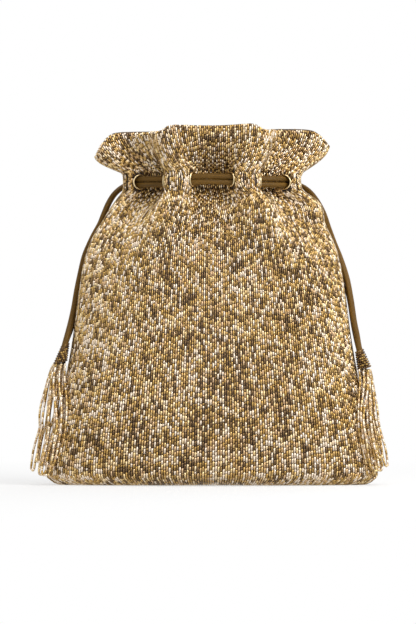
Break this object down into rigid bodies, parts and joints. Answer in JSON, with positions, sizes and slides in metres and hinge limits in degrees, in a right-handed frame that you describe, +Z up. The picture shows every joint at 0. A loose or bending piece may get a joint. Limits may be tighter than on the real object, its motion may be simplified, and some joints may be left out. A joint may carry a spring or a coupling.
{
  "type": "potli bag",
  "caption": "Drawstring potli pouch of beaded cloth with a satin lining, gathered neck, ruffled mouth, metal eyelets and a tasselled cord at each side.",
  "frame": {"origin": "on the floor, at the middle of the bag's flattened base", "axes": "+Z up to the mouth, -Y out of the front panel, +X to the right as seen from the front"},
  "size_m": [0.2314, 0.076, 0.2364],
  "materials": {
    "beaded_cloth": "bugle beads in gold, silver and bronze on dark brown net",
    "lining_satin": "satin",
    "eyelet_brass": "polished",
    "cord_satin": "satin tube",
    "wrap_beads": "small seed beads, bronze lined",
    "strand_beads": "bugle and seed beads, gold and silver lined"
  },
  "bodies": {
    "root": {"front_panel": "beaded_cloth", "back_panel": "beaded_cloth", "lining": "lining_satin", "eyelet_01": "eyelet_brass", "eyelet_02": "eyelet_brass", "eyelet_03": "eyelet_brass", "eyelet_04": "eyelet_brass", "eyelet_05": "eyelet_brass", "eyelet_06": "eyelet_brass", "eyelet_07": "eyelet_brass", "eyelet_08": "eyelet_brass", "eyelet_09": "eyelet_brass", "eyelet_10": "eyelet_brass", "eyelet_11": "eyelet_brass", "eyelet_12": "eyelet_brass", "left_drawcord": "cord_satin", "right_drawcord": "cord_satin", "left_tassel_wrap": "wrap_beads", "right_tassel_wrap": "wrap_beads", "left_strand_1": "strand_beads", "left_strand_2": "strand_beads", "left_strand_3": "strand_beads", "left_strand_4": "strand_beads", "left_strand_5": "strand_beads", "left_strand_6": "strand_beads", "left_strand_7": "strand_beads", "left_strand_8": "strand_beads", "left_strand_9": "strand_beads", "right_strand_1": "strand_beads", "right_strand_2": "strand_beads", "right_strand_3": "strand_beads", "right_strand_4": "strand_beads", "right_strand_5": "strand_beads", "right_strand_6": "strand_beads", "right_strand_7": "strand_beads", "right_strand_8": "strand_beads", "right_strand_9": "strand_beads"}
  },
  "joints": []
}
